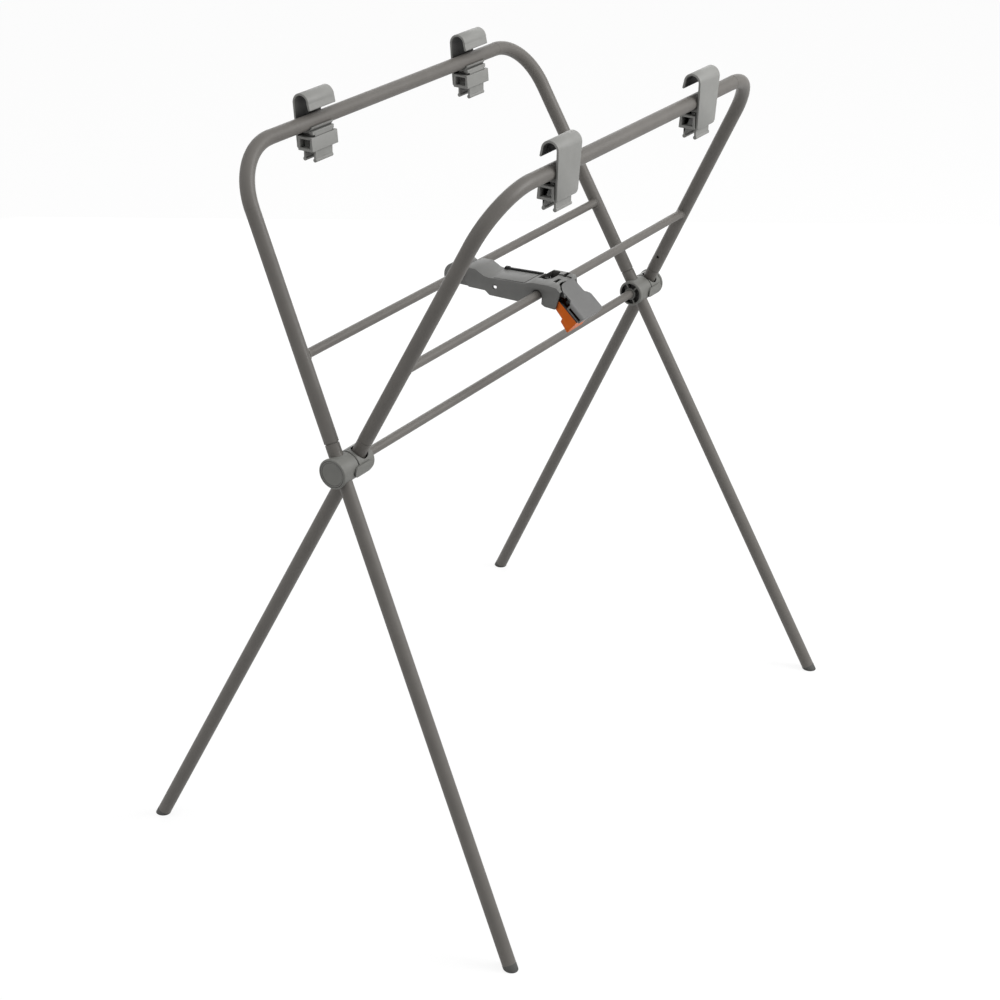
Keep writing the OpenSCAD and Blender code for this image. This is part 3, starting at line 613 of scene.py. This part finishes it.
def bead_place(side, end):
    """Where a bar's end meets its leg, with Z along the leg."""
    across = Matrix.Rotation(math.pi, 4, "Z") if side == "b" else Matrix.Identity(4)
    lean = Matrix.Translation((0.0, 0.0, AXIS_HEIGHT)) @ Matrix.Rotation(-LEAN, 4, "X")
    out = Matrix.Translation((LEG_AT_BAR[end], 0.0, BAR_FROM_AXIS))
    splay = Matrix.Rotation(SPLAY if end == "near" else -SPLAY, 4, "Y")
    facing = Matrix.Identity(4) if end == "near" else Matrix.Rotation(math.pi, 4, "Z")
    return across @ lean @ out @ splay @ facing


def weld_beads():
    """A bead at each end of both cross bars, all copied from one."""
    first = weld_bead()
    for side in ("a", "b"):
        for end in ("near", "far"):
            only(first)
            bpy.ops.object.duplicate()
            bead = active()
            bead.name = bead.data.name = "weld_bead_" + side + "_" + end
            bead.matrix_world = bead_place(side, end)
            apply_place(bead)
            smooth(bead, BEAD_SMOOTH_BELOW)
            paint(bead, "tube")
            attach(bead, NODE_BODY["cross_bar_" + side])
    only(first)
    bpy.ops.object.delete()


class BATHSTAND_OT_tubes(bpy.types.Operator):
    """Powder coat on the tubes"""

    bl_idname = "bath_stand.tubes"
    bl_label = "Tubes"

    def execute(self, context):
        finish_nodes("tube", "upper_frame_a", "upper_frame_b")
        finish_nodes("tube", "cross_bar_a", "cross_bar_b", "axle_tube")
        finish_nodes("tube", *("leg_" + corner for corner in CORNERS))
        weld_beads()
        return {"FINISHED"}


# ----------------------------------------------------------------------- hubs

HUB_SPAN = 0.743
SPLIT_BAND = 1.5 * MM
CAP_EDGE = 0.8 * MM
CAP_FACE_SQUARE = 0.97
# A point on the axis of the tube in each of frame B's hub halves, and the way up the tube.
LEG_IN_HUB = {
    "near": (Vector((-357.6, 0.0, 590.0)) * MM, Vector((0.103, -0.4448, 0.8897))),
    "far": (Vector((385.3, 0.0, 590.0)) * MM, Vector((-0.103, -0.4448, 0.8897))),
}
LEG_GAP_R = 11.4 * MM
LEG_GAP_FROM = 10 * MM
LEG_GAP_TO = 26 * MM
LEG_GAP_SIDES = 48
LEG_GAP_MARGIN = 0.05 * MM
LEG_GAP_FLOOR = 1 * MM


def off_the_split(first, second):
    """True for a hub's edges, but for those where its two halves slide on each other."""
    return any(abs(abs(point.x) - HUB_SPAN / 2) > SPLIT_BAND for point in (first, second))


def tube_gap(hub, end):
    """Opens the hub a little round the frame tube that enters it from above."""
    start, up = LEG_IN_HUB[end]
    middle = start + up * (LEG_GAP_FROM + LEG_GAP_TO) / 2
    turn = up.to_track_quat("Z", "Y").to_euler()
    cut(hub, cylinder(LEG_GAP_SIDES, LEG_GAP_R, LEG_GAP_TO - LEG_GAP_FROM, middle, turn))


def paint_gap_shadow(hub, end):
    """Paints shadow, near black, on the faces of that opening."""
    start, up = LEG_IN_HUB[end]

    def in_gap(face):
        place = face.center - start
        along = place.dot(up)
        in_reach = (place - along * up).length < LEG_GAP_R + LEG_GAP_MARGIN
        return in_reach and LEG_GAP_FROM - LEG_GAP_FLOOR < along < LEG_GAP_TO

    darken(hub, "inside", in_gap)


def paint_rim_shade(cap):
    """Paints shade, dark grey, on the rounded rim of a cap, down in the gap to its seat."""
    darken(cap, "hollow", lambda face: abs(face.normal.x) < CAP_FACE_SQUARE)


class BATHSTAND_OT_hubs(bpy.types.Operator):
    """Moulded hub halves, their caps and what holds them"""

    bl_idname = "bath_stand.hubs"
    bl_label = "Hubs"

    def execute(self, context):
        for corner in CORNERS:
            hub = copied("hub_" + corner, "hub_" + corner + "_moulded")
            if corner.startswith("b"):
                tube_gap(hub, corner[2:])
            round_edges(hub, sizes().edge, wanted=off_the_split)
            finished(hub, "hub", "hub_" + corner)
            if corner.startswith("b"):
                paint_gap_shadow(hub, corner[2:])
        for end in ("near", "far"):
            paint_rim_shade(rounded_part("hub_cap_" + end, "hub", CAP_EDGE, room=0.0))
        finish_nodes("steel", "pivot_bolt_near", "pivot_bolt_far", "axle_inserts")
        finish_nodes("washer", "pivot_washer_near", "pivot_washer_far")
        return {"FINISHED"}


# ----------------------------------------------------------------- bath clips

HOOK_ROOM = 1.3


class BATHSTAND_OT_clips(bpy.types.Operator):
    """The four bath clips: hook, jaw and locking sleeve"""

    bl_idname = "bath_stand.clips"
    bl_label = "Bath clips"

    def execute(self, context):
        for corner in CORNERS:
            rounded_part("hook_" + corner, "clip", sizes().edge, room=HOOK_ROOM)
            rounded_part("jaw_" + corner, "jaw", sizes().thin_edge)
            rounded_part("sleeve_" + corner, "jaw", sizes().edge)
        return {"FINISHED"}


# ------------------------------------------------------------------- lock arm

# The grip's own axes, and the near corner of its neck on its face.
GRIP_SLOPE = math.radians(41.4)
GRIP_ACROSS = Vector((1.0, 0.0, 0.0))
GRIP_UP = Vector((0.0, math.cos(GRIP_SLOPE), math.sin(GRIP_SLOPE)))
GRIP_OUT = Vector((0.0, -math.sin(GRIP_SLOPE), math.cos(GRIP_SLOPE)))
GRIP_SHARP_ABOVE = 32.0
NECK_CORNER = Vector((-30.9, -94.0, 736.6)) * MM
NECK_R = 14.0 * MM
NECK_GAP = 3.2 * MM
NECK_SIDES = 64
GROOVE_DEPTH = 16 * MM
GROOVE_MIDDLE = -4 * MM
PLATE_DEPTH = 4.4 * MM
PLATE_MIDDLE = -0.8 * MM
THROUGH_PLATE = 20 * MM
# The straight way by which light comes to the camera through the hole in the arm's side.
VIEW_DIRECTION = Vector((0.75994, 0.47737, -0.44114))
SIGHT_FROM = Vector((-33.0, 2.2, 716.3)) * MM
SIGHT_R = 3.4 * MM
SIGHT_L = 64 * MM
SIGHT_SIDES = 32
# Where shade and shadow are painted dark, in mm from the frame's origin and from the neck's corner.
TOP_OPENING = ((-22.0, 21.0), (-99.0, -50.0), (722.0, 737.0))
FACES_UP = 0.5
NECK_INSIDE = ((-2.0, 36.5), (-26.0, 12.0))
NECK_UNDER = -3 * MM
NECK_ROOF = 729 * MM


def on_grip(across, up, out):
    """A place in the grip's own axes, from its neck's near corner."""
    return NECK_CORNER + across * GRIP_ACROSS + up * GRIP_UP + out * GRIP_OUT


def neck_cylinder(radius, depth, out):
    """A cylinder square to the grip's face that touches the neck's near edge, level with its round."""
    place = on_grip(radius, -NECK_R, out)
    return cylinder(NECK_SIDES, radius, depth, place, (GRIP_SLOPE, 0.0, 0.0))


def neck_groove(arm):
    """The dark gap in the housing's roof round the grip's rounded neck."""
    cut(arm, neck_cylinder(NECK_R + NECK_GAP, GROOVE_DEPTH, GROOVE_MIDDLE))


def neck_round(grip):
    """Rounds the corner of the grip's plate at the housing."""
    bpy.ops.object.select_all(action="DESELECT")
    bpy.ops.mesh.primitive_cube_add(
        size=1.0, rotation=(GRIP_SLOPE, 0.0, 0.0), location=on_grip(0.0, 0.0, PLATE_MIDDLE),
        scale=(2 * NECK_R, 2 * NECK_R, PLATE_DEPTH),
    )
    corner = active()
    apply_place(corner)
    cut(corner, neck_cylinder(NECK_R, THROUGH_PLATE, 0.0))
    cut(grip, corner)


def sight_line(arm):
    """Clears the ribs behind the hole in the arm's side, so that light shows through it."""
    middle = SIGHT_FROM + VIEW_DIRECTION * SIGHT_L / 2
    turn = VIEW_DIRECTION.to_track_quat("Z", "Y").to_euler()
    cut(arm, cylinder(SIGHT_SIDES, SIGHT_R, SIGHT_L, middle, turn))


def paint_opening_shade(arm):
    """Paints shade, dark grey, on the inner faces of the deep opening over bar B and of the slots
    beside it.
    """
    def in_opening(face):
        inside = all(low < at < high for at, (low, high) in zip(face.center / MM, TOP_OPENING))
        return inside and face.normal.z < FACES_UP

    darken(arm, "hollow", in_opening)


def paint_neck_shadow(obj):
    """Paints shadow, near black, on the faces of a piece that lie inside the open neck, under the
    grip's plate.
    """
    (left, right), (bottom, top) = NECK_INSIDE

    def in_neck(face):
        place = face.center - NECK_CORNER
        if place.dot(GRIP_OUT) >= NECK_UNDER or face.center.z >= NECK_ROOF:
            return False
        return left * MM < place.x < right * MM and bottom * MM < place.dot(GRIP_UP) < top * MM

    darken(obj, "inside", in_neck)


class BATHSTAND_OT_lock(bpy.types.Operator):
    """The lock arm with its grip and screws"""

    bl_idname = "bath_stand.lock"
    bl_label = "Lock arm and grip"

    def execute(self, context):
        arm = copied("lock_arm", "lock_arm_moulded")
        neck_groove(arm)
        sight_line(arm)
        round_edges(arm, sizes().edge)
        finished(arm, "arm", "lock_arm")
        paint_neck_shadow(arm)
        paint_opening_shade(arm)
        rounded_part("arm_strip", "strip", sizes().thin_edge)
        grip = copied("grip", "grip_moulded")
        neck_round(grip)
        round_edges(grip, sizes().edge, GRIP_SHARP_ABOVE)
        paint_neck_shadow(finished(grip, "grip", "grip"))
        finish_nodes("steel", "grip_screws")
        return {"FINISHED"}


# -------------------------------------------------------------- release lever

PIN_AT = Vector((-14.0, -91.5, 713.0)) * MM
WIRE_SIDES = 12
SPRING_R = 2.9 * MM
SPRING_START = 4.6 * MM
SPRING_PITCH = 1.3 * MM
SPRING_TURNS = 3.25
SPRING_STEPS = 78
SPRING_END_UP = (0.0, 0.0, 9.6 * MM)
SPRING_END_BACK = (0.0, -6.0 * MM, -5.6 * MM)
ON_THE_WIRE = 1.02
LEVER_SHOWS_BELOW = 13.2 * MM


def wound_spring(side):
    """One half of the return spring: close turns round the pin, and two straight ends."""
    wire = sizes().wire / 2
    bpy.ops.object.select_all(action="DESELECT")
    bpy.ops.mesh.primitive_circle_add(
        vertices=WIRE_SIDES, radius=wire, location=(SPRING_START + wire, SPRING_R, 0.0),
    )
    coil = active()
    apply_place(coil)
    bpy.ops.object.modifier_add(type="SCREW")
    screw = coil.modifiers[-1]
    screw.axis = "X"
    screw.angle = -2 * math.pi * SPRING_TURNS
    screw.screw_offset = SPRING_PITCH * SPRING_TURNS
    screw.steps = screw.render_steps = SPRING_STEPS
    screw.use_merge_vertices = False
    bpy.ops.object.modifier_apply(modifier=screw.name)
    last_x = SPRING_START + wire + SPRING_PITCH * SPRING_TURNS
    ends = (
        (Vector((SPRING_START + wire, SPRING_R, 0.0)), SPRING_END_UP),
        (Vector((last_x, 0.0, -SPRING_R)), SPRING_END_BACK),
    )
    for middle, reach in ends:
        pick_points(coil, lambda point: (point.co - middle).length < wire * ON_THE_WIRE)
        bpy.ops.mesh.extrude_region_move(TRANSFORM_OT_translate={"value": reach})
        bpy.ops.mesh.edge_face_add()
        bpy.ops.object.mode_set(mode="OBJECT")
    coil.scale = (side, 1.0, 1.0)
    coil.location = PIN_AT
    apply_place(coil)
    edit_all(coil)
    bpy.ops.mesh.normals_make_consistent(inside=False)
    bpy.ops.object.mode_set(mode="OBJECT")
    return coil


def lever_spring():
    """The whole return spring, joined from its two halves."""
    coils = [wound_spring(side) for side in (-1.0, 1.0)]
    only(coils[0])
    coils[1].select_set(True)
    bpy.ops.object.join()
    coils[0].name = coils[0].data.name = "lever_spring_wound"
    # painted shadow: the steel spring takes the near black of the grip's shaded inside
    finished(coils[0], "inside", "lever_spring")


def paint_lever_shadow(lever):
    """Divides the lever where it leaves the grip. What is inside the grip is painted black, as painted
    shadow.
    """
    edge = on_grip(0.0, 0.0, -LEVER_SHOWS_BELOW)
    edit_all(lever)
    bpy.ops.mesh.bisect(plane_co=edge, plane_no=GRIP_OUT)
    bpy.ops.object.mode_set(mode="OBJECT")
    darken(lever, "inside", lambda face: (face.center - edge).dot(GRIP_OUT) > 0.0)


class BATHSTAND_OT_lever(bpy.types.Operator):
    """The release lever, its pin and its spring"""

    bl_idname = "bath_stand.lever"
    bl_label = "Release lever"

    def execute(self, context):
        lever = rounded_part("release_lever", "lever", sizes().edge)
        paint_lever_shadow(lever)
        finish_nodes("steel", "lever_pin")
        lever_spring()
        return {"FINISHED"}


# ----------------------------------------------------------------------- feet

FLOOR_BAND = 0.1 * MM
FOOT_SEGMENTS = 4


def on_the_floor(first, second):
    """True for an edge that stands on the floor."""
    return max(first.z, second.z) < FLOOR_BAND


class BATHSTAND_OT_feet(bpy.types.Operator):
    """The foot caps in the legs' lower ends"""

    bl_idname = "bath_stand.feet"
    bl_label = "Foot caps"

    def execute(self, context):
        for node in ("foot_caps_a", "foot_caps_b"):
            caps = copied(node, node + "_moulded")
            round_edges(
                caps, sizes().foot_edge, segments=FOOT_SEGMENTS, wanted=on_the_floor, room=0.0,
            )
            finished(caps, "foot", node)
        return {"FINISHED"}


# ---------------------------------------------------------------------- stage

VIEW_FROM = Vector((-2.2976, -1.4316, 1.7201))
VIEW_ROLL = 0.0082
LENS = 77.53
SENSOR = 36.0
CLIP_NEAR, CLIP_FAR = 0.05, 200.0
# Each lamp's way right, towards the camera and up from the stand's middle, and its width.
LAMPS = {
    "key": ((2.4, 0.3, 1.5), 1.6),
    "fill": ((-2.4, 1.2, 1.4), 2.2),
    "back": ((0.0, -2.6, 1.2), 2.4),
}
SKY_FROM, SKY_TO = 0.1, 0.9
FLOOR_WIDTH = 60.0
FLOOR_LIT = 0.5
FLOOR_PALE = 0.8
FLOOR_GLOW = 1.035
GLOW_SHARE = 0.8


def place_camera():
    """The camera where the photograph was taken from. Returns its ways right and back."""
    bpy.ops.object.select_all(action="DESELECT")
    bpy.ops.object.camera_add(location=VIEW_FROM)
    camera = active()
    camera.name = "camera"
    back = -VIEW_DIRECTION.normalized()
    right = UPWARDS.cross(back).normalized()
    up = back.cross(right)
    level, tip = math.cos(VIEW_ROLL), math.sin(VIEW_ROLL)
    across = right * level + up * tip
    above = up * level - right * tip
    turn = Matrix((across, above, back)).transposed()
    camera.rotation_mode = "QUATERNION"
    camera.rotation_quaternion = turn.to_quaternion()
    camera.data.sensor_width = SENSOR
    camera.data.lens = LENS
    camera.data.clip_start = CLIP_NEAR
    camera.data.clip_end = CLIP_FAR
    bpy.context.scene.camera = camera
    return across, back


def place_lamp(name, spot, aim, width, power):
    """A square lamp that shines on its aim."""
    bpy.ops.object.select_all(action="DESELECT")
    bpy.ops.object.light_add(type="AREA", location=spot)
    lamp = active()
    lamp.name = name
    lamp.rotation_mode = "QUATERNION"
    lamp.rotation_quaternion = (aim - spot).to_track_quat("-Z", "Y")
    lamp.data.shape = "SQUARE"
    lamp.data.size = width
    lamp.data.energy = power


def either(nodes, links, first, second):
    """1 where either of two outputs is 1."""
    seen = nodes.new("ShaderNodeMath")
    seen.operation = "MAXIMUM"
    links.new(first, seen.inputs[0])
    links.new(second, seen.inputs[1])
    return seen.outputs[0]


def white_for_camera(nodes, links, lit, white):
    """Mixes a plain white in where a camera, glossy or transmitted ray looks."""
    path = nodes.new("ShaderNodeLightPath").outputs
    seen = either(nodes, links, path["Is Camera Ray"], path["Is Glossy Ray"])
    seen = either(nodes, links, seen, path["Is Transmission Ray"])
    mix = nodes.new("ShaderNodeMixShader")
    links.new(seen, mix.inputs["Fac"])
    links.new(lit.outputs[0], mix.inputs[1])
    links.new(white.outputs[0], mix.inputs[2])
    return mix.outputs["Shader"]


def plain(nodes, kind, level):
    """A shader node of one plain grey."""
    node = nodes.new(kind)
    node.inputs["Color"].default_value = (level, level, level, 1.0)
    return node


def studio_sky():
    """A white surrounding that is brightest overhead."""
    world = bpy.data.worlds.new("studio_sky")
    bpy.context.scene.world = world
    world.use_nodes = True
    nodes, links = world.node_tree.nodes, world.node_tree.links
    nodes.clear()
    lit = plain(nodes, "ShaderNodeBackground", 1.0)
    parts = nodes.new("ShaderNodeSeparateXYZ")
    links.new(nodes.new("ShaderNodeTexCoord").outputs["Generated"], parts.inputs["Vector"])
    level = nodes.new("ShaderNodeMapRange")
    level.inputs["From Min"].default_value = SKY_FROM
    level.inputs["From Max"].default_value = SKY_TO
    level.inputs["To Min"].default_value = stage_settings().horizon
    level.inputs["To Max"].default_value = stage_settings().sky
    links.new(parts.outputs["Z"], level.inputs["Value"])
    links.new(level.outputs["Result"], lit.inputs["Strength"])
    white = plain(nodes, "ShaderNodeBackground", 1.0)
    out = nodes.new("ShaderNodeOutputWorld")
    links.new(white_for_camera(nodes, links, lit, white), out.inputs["Surface"])


def pale_floor():
    """A wide pale floor that keeps the stand's soft shadow."""
    bpy.ops.object.select_all(action="DESELECT")
    bpy.ops.mesh.primitive_plane_add(size=FLOOR_WIDTH)
    floor = active()
    floor.name = "floor"
    material = bpy.data.materials.new("pale_floor")
    material.use_nodes = True
    nodes, links = material.node_tree.nodes, material.node_tree.links
    nodes.clear()
    matte = plain(nodes, "ShaderNodeBsdfDiffuse", FLOOR_LIT)
    pale = plain(nodes, "ShaderNodeBsdfDiffuse", FLOOR_PALE)
    bright = plain(nodes, "ShaderNodeEmission", 1.0)
    bright.inputs["Strength"].default_value = FLOOR_GLOW
    blend = nodes.new("ShaderNodeMixShader")
    blend.inputs["Fac"].default_value = GLOW_SHARE
    links.new(pale.outputs[0], blend.inputs[1])
    links.new(bright.outputs[0], blend.inputs[2])
    out = nodes.new("ShaderNodeOutputMaterial")
    links.new(white_for_camera(nodes, links, matte, blend), out.inputs["Surface"])
    floor.data.materials.append(material)


class BATHSTAND_OT_stage(bpy.types.Operator):
    """The camera, the lamps, the sky and the pale floor"""

    bl_idname = "bath_stand.stage"
    bl_label = "Stage"

    def execute(self, context):
        ways = (*place_camera(), UPWARDS)
        centre = (CAD_BOX[0] + CAD_BOX[1]) / 2
        for name, (reach, width) in LAMPS.items():
            spot = centre.copy()
            for way, length in zip(ways, reach):
                spot += way * length
            place_lamp(name + "_lamp", spot, centre, width, getattr(stage_settings(), name))
        studio_sky()
        pale_floor()
        context.scene.view_settings.view_transform = "Standard"
        return {"FINISHED"}


# --------------------------------------------------------------------- add-on

STEPS = (
    BATHSTAND_OT_tubes,
    BATHSTAND_OT_hubs,
    BATHSTAND_OT_clips,
    BATHSTAND_OT_lock,
    BATHSTAND_OT_lever,
    BATHSTAND_OT_feet,
    BATHSTAND_OT_stage,
)


class BATHSTAND_PT_panel(bpy.types.Panel):
    """Lists the stand's pieces in the sidebar"""

    bl_idname = "BATHSTAND_PT_panel"
    bl_label = "Bath Stand"
    bl_space_type = "VIEW_3D"
    bl_region_type = "UI"
    bl_category = "Bath Stand"

    def draw(self, context):
        for group in (colours(), sizes(), stage_settings()):
            box = self.layout.box()
            for prop in group.bl_rna.properties:
                if prop.identifier not in ("name", "rna_type"):
                    box.prop(group, prop.identifier)
        for step in STEPS:
            self.layout.operator(step.bl_idname)


GROUPS = (BathStandColours, BathStandSizes, BathStandStage)
CLASSES = (*GROUPS, *STEPS, BATHSTAND_PT_panel)


def register():
    for cls in CLASSES:
        bpy.utils.register_class(cls)
    bpy.types.Scene.bath_stand_colours = PointerProperty(type=BathStandColours)
    bpy.types.Scene.bath_stand_sizes = PointerProperty(type=BathStandSizes)
    bpy.types.Scene.bath_stand_stage = PointerProperty(type=BathStandStage)


def unregister():
    del bpy.types.Scene.bath_stand_stage
    del bpy.types.Scene.bath_stand_sizes
    del bpy.types.Scene.bath_stand_colours
    for cls in reversed(CLASSES):
        bpy.utils.unregister_class(cls)


def main():
    """Builds every piece and the stage in order."""
    register()
    for step in STEPS:
        group, name = step.bl_idname.split(".")
        getattr(getattr(bpy.ops, group), name)()


if __name__ == "__main__":
    main()
